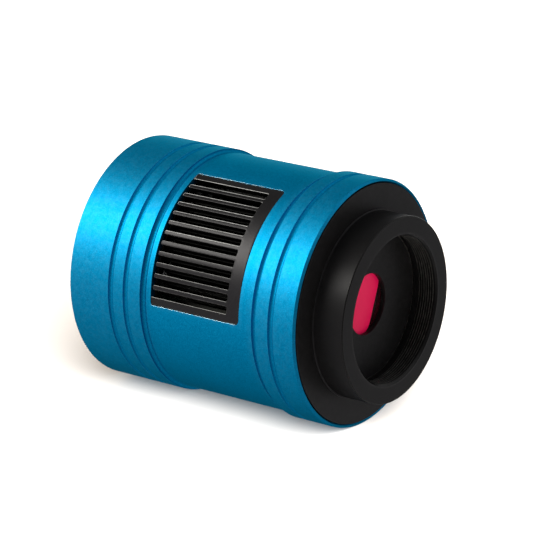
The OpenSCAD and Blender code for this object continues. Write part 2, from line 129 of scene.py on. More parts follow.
def fillet(pts, n=3, closed=False):
    """(x, y, radius, edge mark) corners to (x, y, edge mark) points, each corner with a radius rounded."""
    out, m = [], len(pts)
    for i, (x, y, r, w) in enumerate(pts):
        if r <= 0 or (not closed and i in (0, m - 1)):
            out.append((x, y, w))
            continue
        a, b = pts[i - 1], pts[(i + 1) % m]
        d1, d2 = Vector((a[0] - x, a[1] - y)), Vector((b[0] - x, b[1] - y))
        l1, l2 = d1.length, d2.length
        d1, d2 = d1 / l1, d2 / l2
        half = d1.angle(d2) / 2
        if half > 1.5:
            out.append((x, y, w))
            continue
        t = min(r / math.tan(half), 0.48 * l1, 0.48 * l2)
        rr = t * math.tan(half)
        c = Vector((x, y)) + (d1 + d2).normalized() * (rr / math.sin(half))
        s, e = Vector((x, y)) + d1 * t - c, Vector((x, y)) + d2 * t - c
        a0 = math.atan2(s.y, s.x)
        da = (math.atan2(e.y, e.x) - a0 + math.pi) % (2 * math.pi) - math.pi
        for k in range(n + 1):
            q = a0 + da * k / n
            out.append((c.x + rr * math.cos(q), c.y + rr * math.sin(q), w if 0 < k < n else w * 0.5))
    return out


def ring_pts(r, z, n, cx=0.0, cy=0.0, a0=0.0):
    return [(cx + r * math.cos(a0 + 2 * math.pi * j / n), cy + r * math.sin(a0 + 2 * math.pi * j / n), z) for j in range(n)]


def lathe(b, prof, n=192, closed=False, cx=0.0, cy=0.0, mat=0, mats=None):
    """Turns a profile of (r, z, edge mark) about z. The material lies on the left of the profile."""
    loops = []
    for r, z, w in prof:
        loops.append([b.pt(cx, cy, z, w)] if r < 1e-6 else b.loop(ring_pts(r, z, n, cx, cy), w))
    pairs = list(zip(loops, loops[1:])) + ([(loops[-1], loops[0])] if closed else [])
    for i, (p, q) in enumerate(pairs):
        m = mats[i] if mats else mat
        if len(p) == 1 and len(q) == 1:
            continue
        if len(p) == 1:
            for j in range(n):
                b.face([p[0], q[(j + 1) % n], q[j]], m)
        elif len(q) == 1:
            for j in range(n):
                b.face([p[j], p[(j + 1) % n], q[0]], m)
        else:
            b.band(p, q, m)
    return loops


def inside(poly, pts):
    """Which of the points lie inside a polygon."""
    x, y = pts[:, 0], pts[:, 1]
    p = np.array(poly, float)
    q = np.roll(p, -1, axis=0)
    hit = np.zeros(len(pts), bool)
    for (x0, y0), (x1, y1) in zip(p, q):
        if y0 == y1:
            continue
        c = ((y0 > y) != (y1 > y)) & (x < (x1 - x0) * (y - y0) / (y1 - y0) + x0)
        hit ^= c
    return hit


def near(poly, pts, gap):
    """Which of the points lie within gap of a polygon's edge."""
    p = np.array(poly, float)
    q = np.roll(p, -1, axis=0)
    best = np.full(len(pts), 1e9)
    for a, c in zip(p, q):
        d = c - a
        t = np.clip(((pts - a) @ d) / max(d @ d, 1e-12), 0, 1)
        best = np.minimum(best, np.hypot(*(pts - a - t[:, None] * d).T))
    return best < gap


def triangles(outer, holes, extra=()):
    """Triangles of a flat region: indices run through outer, then each hole, then extra."""
    pts, edges = [], []
    for lp in [outer, *holes]:
        base = len(pts)
        pts += [Vector((p[0], p[1])) for p in lp]
        edges += [(base + i, base + (i + 1) % len(lp)) for i in range(len(lp))]
    pts += [Vector(p) for p in extra]
    vo, _, fo, ov, _, _ = delaunay_2d_cdt(pts, edges, [], 0, 1e-6)
    back = [o[0] for o in ov]
    flat = np.array([(p.x, p.y) for p in pts])
    tris = np.array([[back[i] for i in f] for f in fo], int)
    a, c, d = flat[tris[:, 0]], flat[tris[:, 1]], flat[tris[:, 2]]
    mid = (a + c + d) / 3
    keep = inside([p[:2] for p in outer], mid)
    for h in holes:
        keep &= ~inside([p[:2] for p in h], mid)
    area = (c[:, 0] - a[:, 0]) * (d[:, 1] - a[:, 1]) - (c[:, 1] - a[:, 1]) * (d[:, 0] - a[:, 0])
    keep &= np.abs(area) > 1e-9
    tris[area < 0] = tris[area < 0][:, ::-1]
    return [tuple(int(i) for i in t) for t in tris[keep]]


def plate(b, walls, warp, extra=(), bottom_extra=(), mat=0, rim_mat=None, bottom=True):
    """A plate with holes. Each wall is {"levels": [(loop, h, wear), ...] from the top down, "hole": bool, "blind": bool}.
    Loops are anticlockwise. warp(u, v, h) puts a point in the camera's own frame."""
    rim_mat = mat if rim_mat is None else rim_mat
    ids = []
    for wl in walls:
        ids.append([[b.pt(*warp(p[0], p[1], h), w) for p in lp] for lp, h, w in wl["levels"]])
        for p, q in zip(ids[-1], ids[-1][1:]):
            b.band(p, q, rim_mat, flip=not wl.get("hole"))
        if wl.get("blind"):
            b.face(ids[-1][-1], wl.get("mat", mat))
    for end, ex in ((0, extra), (-1, bottom_extra)):
        if end == -1 and not bottom:
            break
        use = [k for k, wl in enumerate(walls) if end == 0 or not wl.get("blind")]
        outer = next(k for k in use if not walls[k].get("hole"))
        holes = [k for k in use if walls[k].get("hole")]
        h = walls[outer]["levels"][end][1]
        lps = [walls[k]["levels"][end][0] for k in [outer, *holes]]
        flat = [i for k in [outer, *holes] for i in ids[k][end]]
        pts = np.array([p[:2] for p in ex], float).reshape(-1, 2)
        if len(pts):
            ok = inside([p[:2] for p in lps[0]], pts) & ~near([p[:2] for p in lps[0]], pts, 0.35)
            for lp in lps[1:]:
                lo, hi = np.min(np.array([p[:2] for p in lp]), 0) - 0.5, np.max(np.array([p[:2] for p in lp]), 0) + 0.5
                box = ((pts > lo) & (pts < hi)).all(1)
                sub = pts[box]
                if len(sub):
                    bad = inside([p[:2] for p in lp], sub) | near([p[:2] for p in lp], sub, 0.25)
                    idx = np.flatnonzero(box)[bad]
                    ok[idx] = False
            pts = pts[ok]
        flat += [b.pt(*warp(p[0], p[1], h), 0.0) for p in pts]
        for t in triangles(lps[0], lps[1:], [tuple(p) for p in pts]):
            q = [flat[i] for i in t]
            b.face(q if end == 0 else q[::-1], mat)


def offset(lp, d):
    """Moves each point of an anticlockwise loop inwards by d (outwards if d is negative)."""
    p = np.array([q[:2] for q in lp], float)
    e1 = p - np.roll(p, 1, axis=0)
    e2 = np.roll(p, -1, axis=0) - p
    n1 = np.stack([-e1[:, 1], e1[:, 0]], 1) / np.maximum(np.hypot(*e1.T), 1e-12)[:, None]
    n2 = np.stack([-e2[:, 1], e2[:, 0]], 1) / np.maximum(np.hypot(*e2.T), 1e-12)[:, None]
    m = n1 + n2
    k = np.maximum((m * n1).sum(1), 0.35)
    return [tuple(q) for q in p + m * (d / k)[:, None]]


def rounded(lp, h, c, hole=False, steps=3, top=0.0):
    """Levels of a rounded upper edge of size c, from the top face down to h."""
    out = []
    for k in range(steps + 1):
        a = math.pi / 2 * k / steps
        g = c * (1 - math.sin(a))
        out.append((offset(lp, -g if hole else g), top - c * (1 - math.cos(a)), 1.0 if 0 < k < steps else 0.5))
    out.append((lp, h, 0.0))
    return out


def arc(cx, cy, r, a0, a1, n):
    return [(cx + r * math.cos(math.radians(a0 + (a1 - a0) * k / n)), cy + r * math.sin(math.radians(a0 + (a1 - a0) * k / n))) for k in range(n + 1)]


def rbox(x0, x1, y0, y1, radii, n=5, nx=1, ny=1):
    """Anticlockwise rectangle with rounded corners; radii from the lower left, anticlockwise."""
    r0, r1, r2, r3 = radii
    out = arc(x0 + r0, y0 + r0, r0, 180, 270, n)
    out += [(x0 + r0 + (x1 - r1 - x0 - r0) * k / nx, y0) for k in range(1, nx)]
    out += arc(x1 - r1, y0 + r1, r1, -90, 0, n)
    out += [(x1, y0 + r1 + (y1 - r2 - y0 - r1) * k / ny) for k in range(1, ny)]
    out += arc(x1 - r2, y1 - r2, r2, 0, 90, n)
    out += [(x1 - r2 - (x1 - r2 - x0 - r3) * k / nx, y1) for k in range(1, nx)]
    out += arc(x0 + r3, y1 - r3, r3, 90, 180, n)
    out += [(x0, y1 - r3 - (y1 - r3 - y0 - r0) * k / ny) for k in range(1, ny)]
    return out


def circle(cx, cy, r, n=48, a0=0.0):
    return [(cx + r * math.cos(a0 + 2 * math.pi * k / n), cy + r * math.sin(a0 + 2 * math.pi * k / n)) for k in range(n)]


# ---------------------------------------------------------------- materials
def nodes_of(name):
    m = bpy.data.materials.new(name)
    m.use_nodes = True
    nt = m.node_tree
    nt.nodes.clear()
    out = nt.nodes.new("ShaderNodeOutputMaterial")
    bs = nt.nodes.new("ShaderNodeBsdfPrincipled")
    nt.links.new(bs.outputs[0], out.inputs[0])
    tc = nt.nodes.new("ShaderNodeTexCoord")
    return m, nt, bs, tc.outputs["Object"]


def noise(nt, vec, scale, detail=3.0, rough=0.55, stretch=None):
    if stretch:
        mp = nt.nodes.new("ShaderNodeMapping")
        mp.inputs["Scale"].default_value = stretch
        nt.links.new(vec, mp.inputs["Vector"])
        vec = mp.outputs[0]
    n = nt.nodes.new("ShaderNodeTexNoise")
    n.inputs["Scale"].default_value = scale
    n.inputs["Detail"].default_value = detail
    n.inputs["Roughness"].default_value = rough
    nt.links.new(vec, n.inputs["Vector"])
    return n.outputs["Fac"]


def remap(nt, fac, a, b, lo, hi):
    r = nt.nodes.new("ShaderNodeMapRange")
    for k, v in (("From Min", a), ("From Max", b), ("To Min", lo), ("To Max", hi)):
        r.inputs[k].default_value = v
    nt.links.new(fac, r.inputs["Value"])
    return r.outputs[0]


def mixc(nt, fac, a, b, mode="MIX"):
    m = nt.nodes.new("ShaderNodeMix")
    m.data_type = "RGBA"
    m.blend_type = mode
    if isinstance(fac, (int, float)):
        m.inputs[0].default_value = fac
    else:
        nt.links.new(fac, m.inputs[0])
    for k, c in ((6, a), (7, b)):
        if isinstance(c, tuple):
            m.inputs[k].default_value = (*c, 1)
        else:
            nt.links.new(c, m.inputs[k])
    return m.outputs[2]


def maths(nt, op, a, b):
    m = nt.nodes.new("ShaderNodeMath")
    m.operation = op
    for k, c in ((0, a), (1, b)):
        if isinstance(c, (int, float)):
            m.inputs[k].default_value = c
        else:
            nt.links.new(c, m.inputs[k])
    return m.outputs[0]


def wear_and_highlight_of(nt, vec, low=0.35, high=0.75, scale=900):
    """How strongly an edge is marked, partly for wear and partly for a painted highlight: the mesh's own edge mark,
    broken up by noise.
    """
    at = nt.nodes.new("ShaderNodeAttribute")
    at.attribute_name = "wear"
    n = remap(nt, noise(nt, vec, scale, 4, 0.65), low, high, 0.15, 1.0)
    return maths(nt, "MULTIPLY", at.outputs["Fac"], n)


def bump(nt, bs, height, strength, distance, chain=None):
    b = nt.nodes.new("ShaderNodeBump")
    b.inputs["Strength"].default_value = strength
    b.inputs["Distance"].default_value = distance
    nt.links.new(height, b.inputs["Height"])
    if chain is not None:
        nt.links.new(chain, b.inputs["Normal"])
    nt.links.new(b.outputs[0], bs.inputs["Normal"])
    return b.outputs[0]


def finish_mat(name, base, dark, light, metallic=0.0, rough=0.45, spread=0.08, spec=0.5, grain=3500, grain_amt=0.25,
               grain_depth=4e-6, wear=None, wear_rough=0.3, wear_amt=0.6, blotch=90, coat=0.0, turned=0.0, tint=None):
    """A machined or moulded finish: fine grain, slow blotches of tone, and marked edges, lighter partly from wear and
    partly as a painted highlight.
    """
    m, nt, bs, vec = nodes_of(name)
    fine = noise(nt, vec, grain, 2, 0.6)
    slow = noise(nt, vec, blotch, 4, 0.6)
    mid = noise(nt, vec, grain / 7, 3, 0.6)
    col = mixc(nt, remap(nt, slow, 0.3, 0.7, 0, 1), dark, light)
    col = mixc(nt, 0.5, col, base)
    col = mixc(nt, remap(nt, fine, 0.35, 0.65, 0.0, grain_amt), col, light)
    col = mixc(nt, remap(nt, mid, 0.35, 0.7, 0.0, grain_amt * 0.5), col, dark)
    rgh = remap(nt, maths(nt, "ADD", maths(nt, "MULTIPLY", slow, 0.6), maths(nt, "MULTIPLY", fine, 0.4)), 0.3, 0.7, rough - spread, rough + spread)
    if wear is not None:
        # marked edges take the lighter colour: partly wear, partly a painted highlight
        wf = maths(nt, "MULTIPLY", wear_and_highlight_of(nt, vec), wear_amt)
        col = mixc(nt, wf, col, wear)
        rgh2 = nt.nodes.new("ShaderNodeMix")
        nt.links.new(wf, rgh2.inputs[0])
        nt.links.new(rgh, rgh2.inputs[2])
        rgh2.inputs[3].default_value = wear_rough
        rgh = rgh2.outputs[0]
    nt.links.new(col, bs.inputs["Base Color"])
    nt.links.new(rgh, bs.inputs["Roughness"])
    bs.inputs["Metallic"].default_value = metallic
    bs.inputs["Specular IOR Level"].default_value = spec
    if tint:
        bs.inputs["Specular Tint"].default_value = (*tint, 1)
    if coat:
        bs.inputs["Coat Weight"].default_value = coat
        bs.inputs["Coat Roughness"].default_value = 0.25
    nb = bump(nt, bs, fine, 0.6, grain_depth)
    if turned:
        lines = noise(nt, vec, 1, 2, 0.5, stretch=(25, turned, 25))
        bump(nt, bs, lines, 0.35, grain_depth * 0.8, nb)
    return m


MAT = {}
# bead-blasted aluminium, anodised bright blue
def blue(name, wear_amt=0.30, rough=0.55, worn_and_highlight=(0.10, 0.46, 0.72)):
    m, nt, bs, vec = nodes_of(name)
    g1 = noise(nt, vec, 3600, 2, 0.7)
    g2 = noise(nt, vec, 1500, 2, 0.6)
    slow = noise(nt, vec, 60, 4, 0.6)
    streak = noise(nt, vec, 1, 3, 0.6, stretch=(260, 2600, 260))
    col = mixc(nt, remap(nt, slow, 0.3, 0.7, 0, 1), (0.0002, 0.226, 0.452), (0.0003, 0.240, 0.482))
    col = mixc(nt, remap(nt, g1, 0.45, 0.75, 0.0, 0.75), col, (0.008, 0.40, 0.74))
    col = mixc(nt, remap(nt, g2, 0.3, 0.5, 0.35, 0.0), col, (0.0, 0.150, 0.33))
    wf = maths(nt, "MULTIPLY", wear_and_highlight_of(nt, vec, 0.4, 0.7, 700), wear_amt)
    # marked edges turn lighter blue: partly wear, partly a painted highlight
    col = mixc(nt, wf, col, worn_and_highlight)
    nt.links.new(col, bs.inputs["Base Color"])
    nt.links.new(remap(nt, maths(nt, "ADD", maths(nt, "MULTIPLY", slow, 0.5), maths(nt, "MULTIPLY", g2, 0.5)), 0.3, 0.7, rough - 0.03, rough + 0.03), bs.inputs["Roughness"])
    bs.inputs["Metallic"].default_value = 1.0
    bs.inputs["Specular Tint"].default_value = (0.35, 1.0, 1.0, 1)  # no red at grazing angles
    n1 = bump(nt, bs, g1, 0.95, 2.0e-5)
    n2 = bump(nt, bs, g2, 0.35, 1.2e-5, n1)
    bump(nt, bs, streak, 0.12, 4e-6, n2)
    return m


MAT["blue"] = blue("blue_anodised")
# pale, glossier edge on the vent's long sides: partly bare cut metal, partly a painted highlight
MAT["blue_cut"] = blue("blue_cut_edge", 1.0, 0.30, (0.50, 0.62, 0.66))
# darker blue that stands in for shade: painted shade on the inner slope of the front rim
MAT["blue_painted_shade"] = finish_mat("blue_painted_shade", (0.0005, 0.022, 0.055), (0.0004, 0.015, 0.040), (0.001, 0.032, 0.075), metallic=1.0, rough=0.5, grain=3200, grain_amt=0.4)
MAT["black"] = finish_mat("black_anodised", (0.0052, 0.0050, 0.0052), (0.0040, 0.0039, 0.0040), (0.0075, 0.0072, 0.0074), rough=0.40,
                          spec=0.13, grain=3200, grain_amt=0.5, grain_depth=5e-6, wear=(0.055, 0.055, 0.058), wear_amt=0.35, turned=5200,
                          tint=(0.93, 0.90, 1.0))
MAT["grille"] = finish_mat("grille_black", (0.0058, 0.0054, 0.0058), (0.0045, 0.0042, 0.0045), (0.008, 0.0076, 0.008), rough=0.345, spread=0.05,
                           spec=0.235, grain=2600, grain_amt=0.6, grain_depth=8e-6, wear=(0.10, 0.10, 0.10), wear_amt=0.45, tint=(0.93, 0.89, 1.0))
MAT["cover"] = finish_mat("rear_cover_black", (0.0075, 0.0073, 0.0075), (0.0055, 0.0053, 0.0055), (0.011, 0.0108, 0.011), rough=0.5,
                          spec=0.30, grain=2800, grain_amt=0.5, grain_depth=7e-6, wear=(0.09, 0.09, 0.095), wear_amt=0.4)
# pale grey on the rounded edge of one side of each bar: a painted highlight
MAT["grille_edge"] = finish_mat("grille_edge_painted_highlight", (0.40, 0.39, 0.40), (0.12, 0.12, 0.12), (0.85, 0.84, 0.85), rough=0.34, spread=0.05, spec=0.8, grain=1500, grain_amt=0.8)
# near-black for the slot walls and the sunk rail: painted shade, darker than the grille's own black
MAT["grille_deep"] = finish_mat("grille_slot_walls_painted_shade", (0.0022, 0.0022, 0.0022), (0.0016, 0.0016, 0.0016), (0.0034, 0.0034, 0.0034), rough=0.6, spec=0.05, grain=2600)
MAT["edge"] = finish_mat("black_polished_edge", (0.0030, 0.0029, 0.0030), (0.0024, 0.0023, 0.0024), (0.0042, 0.0040, 0.0042), rough=0.20, spread=0.04, spec=0.16,
                         grain=3200, grain_depth=2e-6)
# thread crests take the lighter colour: partly wear, partly a painted highlight
MAT["thread"] = finish_mat("thread_black", (0.0026, 0.0026, 0.0025), (0.0020, 0.0020, 0.0019), (0.0036, 0.0036, 0.0035), rough=0.34, spec=0.08, grain=3200,
                           wear=(0.075, 0.075, 0.070), wear_amt=0.75, wear_rough=0.3)
# pale grey lines on the flange lip and the step at the thread's inner end: partly edge wear, partly a painted highlight
MAT["rim_line"] = finish_mat("black_rim_wear_and_highlight", (0.040, 0.040, 0.038), (0.028, 0.028, 0.026), (0.055, 0.055, 0.052), rough=0.35, spec=0.4, grain=2600)
MAT["dark_inside"] = finish_mat("chamber_black", (0.004, 0.004, 0.004), (0.003, 0.003, 0.003), (0.006, 0.006, 0.006), rough=0.6, spec=0.15, grain=3000)
MAT["fin"] = finish_mat("fin_black", (0.0055, 0.0055, 0.0058), (0.004, 0.004, 0.0042), (0.009, 0.009, 0.0093), rough=0.5, spec=0.18, grain=2400)
MAT["steel"] = finish_mat("steel", (0.52, 0.52, 0.53), (0.42, 0.42, 0.43), (0.62, 0.62, 0.63), metallic=1, rough=0.3, grain=2600, grain_depth=3e-6, turned=4200)
MAT["black_steel"] = finish_mat("black_oxide_steel", (0.085, 0.085, 0.090), (0.060, 0.060, 0.064), (0.115, 0.115, 0.120), metallic=0.9, rough=0.33,
                                grain=2600, wear=(0.35, 0.35, 0.36), wear_amt=0.5, wear_rough=0.25, turned=4200)
MAT["rubber"] = finish_mat("seal_rubber", (0.015, 0.015, 0.015), (0.01, 0.01, 0.01), (0.022, 0.022, 0.022), rough=0.7, spec=0.3, grain=1800)
MAT["silicon"] = finish_mat("silicon", (0.06, 0.05, 0.10), (0.03, 0.03, 0.06), (0.10, 0.08, 0.16), rough=0.12, spread=0.03, spec=0.8, grain=5200)
MAT["ceramic"] = finish_mat("ceramic", (0.78, 0.76, 0.71), (0.70, 0.68, 0.63), (0.84, 0.82, 0.78), rough=0.5, grain=2600)
MAT["board"] = finish_mat("board_green", (0.012, 0.10, 0.045), (0.008, 0.075, 0.032), (0.02, 0.14, 0.06), rough=0.35, grain=1400, grain_amt=0.4)
MAT["white"] = finish_mat("white_plastic", (0.78, 0.77, 0.73), (0.70, 0.69, 0.65), (0.84, 0.83, 0.80), rough=0.42, grain=1900)
MAT["film"] = finish_mat("flex_film", (0.55, 0.27, 0.03), (0.45, 0.20, 0.02), (0.65, 0.34, 0.05), rough=0.3, grain=1500)
MAT["copper"] = finish_mat("copper", (0.70, 0.34, 0.20), (0.55, 0.25, 0.14), (0.80, 0.42, 0.27), metallic=1, rough=0.32, grain=2600)
MAT["pad"] = finish_mat("pad_grey", (0.36, 0.36, 0.39), (0.30, 0.30, 0.33), (0.42, 0.42, 0.45), rough=0.8, grain=1500)
MAT["red_wire"] = finish_mat("red_wire", (0.45, 0.02, 0.015), (0.35, 0.015, 0.01), (0.55, 0.03, 0.02), rough=0.4, grain=1200)
MAT["black_wire"] = finish_mat("black_wire", (0.02, 0.02, 0.02), (0.015, 0.015, 0.015), (0.03, 0.03, 0.03), rough=0.45, grain=1200)
MAT["grey_wire"] = finish_mat("grey_wire", (0.30, 0.30, 0.32), (0.25, 0.25, 0.27), (0.36, 0.36, 0.38), rough=0.5, grain=1200)
MAT["chip"] = finish_mat("chip_black", (0.018, 0.018, 0.018), (0.013, 0.013, 0.013), (0.026, 0.026, 0.026), rough=0.55, grain=2400)
MAT["fan"] = finish_mat("fan_plastic", (0.014, 0.014, 0.0145), (0.010, 0.010, 0.0105), (0.020, 0.020, 0.021), rough=0.42, spec=0.4, grain=1900,
                        grain_depth=9e-6, wear=(0.06, 0.06, 0.06), wear_amt=0.3)
MAT["magnet"] = finish_mat("magnet", (0.07, 0.07, 0.075), (0.05, 0.05, 0.055), (0.09, 0.09, 0.095), rough=0.6, grain=2400)
MAT["usb_blue"] = finish_mat("usb_blue", (0.006, 0.085, 0.42), (0.005, 0.065, 0.33), (0.01, 0.11, 0.50), rough=0.35, grain=1500)
MAT["jack"] = finish_mat("black_plastic", (0.014, 0.014, 0.0145), (0.010, 0.010, 0.010), (0.020, 0.020, 0.020), rough=0.35, grain=1700)
MAT["pipe"] = finish_mat("light_pipe", (0.21, 0.24, 0.24), (0.18, 0.21, 0.21), (0.25, 0.28, 0.28), rough=0.12, spread=0.04, spec=0.7, grain=1800, coat=0.4)


def coated_window():
    """Polished glass with a pink-red filter coating; the red also glows a little, painted light that gives one strong
    even colour.
    """
    m, nt, bs, vec = nodes_of("coated_window")
    slow = noise(nt, vec, 140, 3, 0.5)
    col = mixc(nt, remap(nt, slow, 0.3, 0.7, 0, 1), (0.455, 0.0040, 0.050), (0.485, 0.0052, 0.056))
    nt.links.new(col, bs.inputs["Base Color"])
    nt.links.new(remap(nt, noise(nt, vec, 900, 2), 0.3, 0.7, 0.14, 0.22), bs.inputs["Roughness"])
    bs.inputs["Specular IOR Level"].default_value = 0.12
    # the red glows though the window is no lamp: painted light
    nt.links.new(col, bs.inputs["Emission Color"])
    bs.inputs["Emission Strength"].default_value = 0.36
    bump(nt, bs, noise(nt, vec, 500, 2), 0.1, 1e-6)
    return m


def clear_glass():
    m, nt, bs, vec = nodes_of("clear_glass")
    bs.inputs["Base Color"].default_value = (0.86, 0.93, 0.95, 1)
    bs.inputs["Transmission Weight"].default_value = 0.9
    nt.links.new(remap(nt, noise(nt, vec, 800, 2), 0.3, 0.7, 0.02, 0.06), bs.inputs["Roughness"])
    return m


MAT["window"] = coated_window()
MAT["mask"] = finish_mat("window_mask", (0.006, 0.002, 0.003), (0.004, 0.0015, 0.002), (0.009, 0.003, 0.004), rough=0.16, spread=0.04, spec=0.25, grain=2600,
                         wear=(0.20, 0.01, 0.03), wear_amt=0.8)
MAT["glass"] = clear_glass()

# ---------------------------------------------------------------- body shell
BODY_R, MID_R, IN_R = 35.0, 34.0, 32.0
Z0, Z1 = 9.5, 86.4
NSEG = 240
RIM_R = 33.86


def groove(zc, r_low, r_high, c=BODY_R + 0.05, rad=0.85, n=10, lip=0.13):
    """Corners of a turned groove of round section, from its front lip to its rear lip."""
    aa, ab = math.acos((c - r_low) / rad), math.acos((c - r_high) / rad)
    out = []
    for k in range(n + 1):
        a = -aa + (aa + ab) * k / n
        edge = k in (0, n)
        out.append((c - rad * math.cos(a), zc + rad * math.sin(a), lip if edge else 0.0, 1.0 if edge else 0.0))
    return out


ZA, ZB = 27.0, 59.4
VENT_Y, VENT_Z0, VENT_Z1 = 39.15 / 2, 28.6, 58.5


def vent_loop(g):
    """Outline of a vent in (y, z), smaller all round by g."""
    return rbox(-VENT_Y + g, VENT_Y - g, VENT_Z0 + g, VENT_Z1 - g, (1.2 - g, 1.2 - g, 0.7 - g, 0.7 - g), n=6, nx=44, ny=12)


def on_cyl(lp, r):
    """(y, z) points to (arc length, z) on a cylinder of that radius."""
    return [(r * math.asin(y / r), z) for y, z in lp]


def shell():
    b = Build()
    # the front rim's edge marks make a pale line: partly wear, partly a painted highlight
    front = [(IN_R, ZA, 0, 0), (IN_R, Z0 + 4, 0, 0), (RIM_R + 0.05, Z0 + 4, 0, 0), (RIM_R + 0.05, Z0 + 0.50, 0.04, 0.0), (RIM_R + 0.52, Z0 + 0.02, 0.07, 1),
             (BODY_R, Z0 + 0.62, 0.10, 0.6)]
    front += groove(17.45, BODY_R, BODY_R) + groove(23.30, BODY_R, MID_R, BODY_R - 0.7, 1.13, 14) + [(MID_R, ZA, 0, 0)]
    rear = [(MID_R, ZB, 0, 0)] + groove(60.72, MID_R, BODY_R, BODY_R - 0.35, 0.9) + groove(66.7, BODY_R, BODY_R) + groove(71.9, BODY_R, BODY_R)
    rear += [(BODY_R, Z1, 0.3, 1), (IN_R, Z1, 0.35, 1), (IN_R, 82.9, 0, 0), (IN_R - 0.7, 82.9, 0, 0), (IN_R - 0.7, 81.6, 0, 0), (IN_R, 80.9, 0, 0), (IN_R, ZB, 0, 0)]
    fp = fillet(front, 3)
    # rows on the inner slope of the front rim take the darker blue: painted shade
    deep = [2 if (p[1] < Z0 + 0.6 and q[1] < Z0 + 0.6 and p[0] < RIM_R + 0.47 and q[0] < RIM_R + 0.47) else 0 for p, q in zip(fp, fp[1:])]
    lf = lathe(b, fp, NSEG, mats=deep)
    lr = lathe(b, fillet(rear, 3), NSEG)
    q = NSEG // 8
    for (r, a, c, flip) in ((MID_R, lf[-1], lr[0], False), (IN_R, lf[0], lr[-1], True)):
        cuts = ([(0, -q), (NSEG // 2, NSEG // 2 - q)])
        for centre, s in cuts:
            idx = [(s + k) % NSEG for k in range(2 * q + 1)]
            low, high = [a[i] for i in idx], [c[i] for i in idx]
            half = math.pi / 4
            us = [r * (-half + 2 * half * k / (2 * q)) for k in range(2 * q + 1)]
            ring2 = [(u, ZA) for u in us] + [(u, ZB) for u in reversed(us)]
            ids = low + high[::-1]
            hole = on_cyl(vent_loop(-0.13 if not flip else 0.0), r)
            extra = [(u, ZA + (ZB - ZA) * t / 10) for t in range(1, 10) for u in us[1:-1]]
            pts = np.array(extra)
            ok = ~inside(hole, pts) & ~near(hole, pts, 0.5)
            pts = [tuple(p) for p in pts[ok]]
            turn = 0 if centre == 0 else math.pi

            def put(u, z, rr):
                t = u / rr + turn
                return (rr * math.cos(t), rr * math.sin(t), z)

            hid = [b.pt(*put(u, z, r), 0.5) for u, z in hole]
            eid = [b.pt(*put(u, z, r)) for u, z in pts]
            flat = ids + hid + eid
            for t in triangles(ring2, [hole], pts):
                f = [flat[i] for i in t]
                b.face(f[::-1] if flip else f)
            # the plain quarter after this one
            idx2 = [(s + 2 * q + k) % NSEG for k in range(2 * q + 1)]
            b.band([a[i] for i in idx2], [c[i] for i in idx2], closed=False, flip=flip)
            if not flip:
                outer_hole = (hid, turn)
                walls.append(outer_hole)
            else:
                hid_out, turn0 = walls.pop(0)
                prev = hid_out
                steps = 3
                for k in range(1, steps + 1):
                    an = math.pi / 2 * k / steps
                    rr = MID_R - 0.13 * (1 - math.cos(an))
                    lp = on_cyl(vent_loop(-0.13 * (1 - math.sin(an))), rr)
                    cur = [b.pt(rr * math.cos(u / rr + turn0), rr * math.sin(u / rr + turn0), z, 1.0 if k < steps else 0.6) for u, z in lp]
                    b.band(prev, cur, 1)
                    for j, (y, _) in enumerate(vent_loop(0.0)):
                        if abs(abs(y) - VENT_Y) > 0.3:  # only the two long edges get the pale edge: partly bare metal, partly a painted highlight
                            b.m[len(b.m) - len(cur) + j] = 0
                    prev = cur
                b.band(prev, hid, 0)
    return b.make("body_shell_turned", "camera", [MAT["blue"], MAT["blue_cut"], MAT["blue_painted_shade"]], ["body_shell"])


walls = []
shell()


# ---------------------------------------------------------------- vent grilles
SLOTS, PITCH, SLOT_W = 12, 3.02, 1.88
SLOT0, BAR_END = VENT_Z0 + 4.1, VENT_Z1 - 0.55


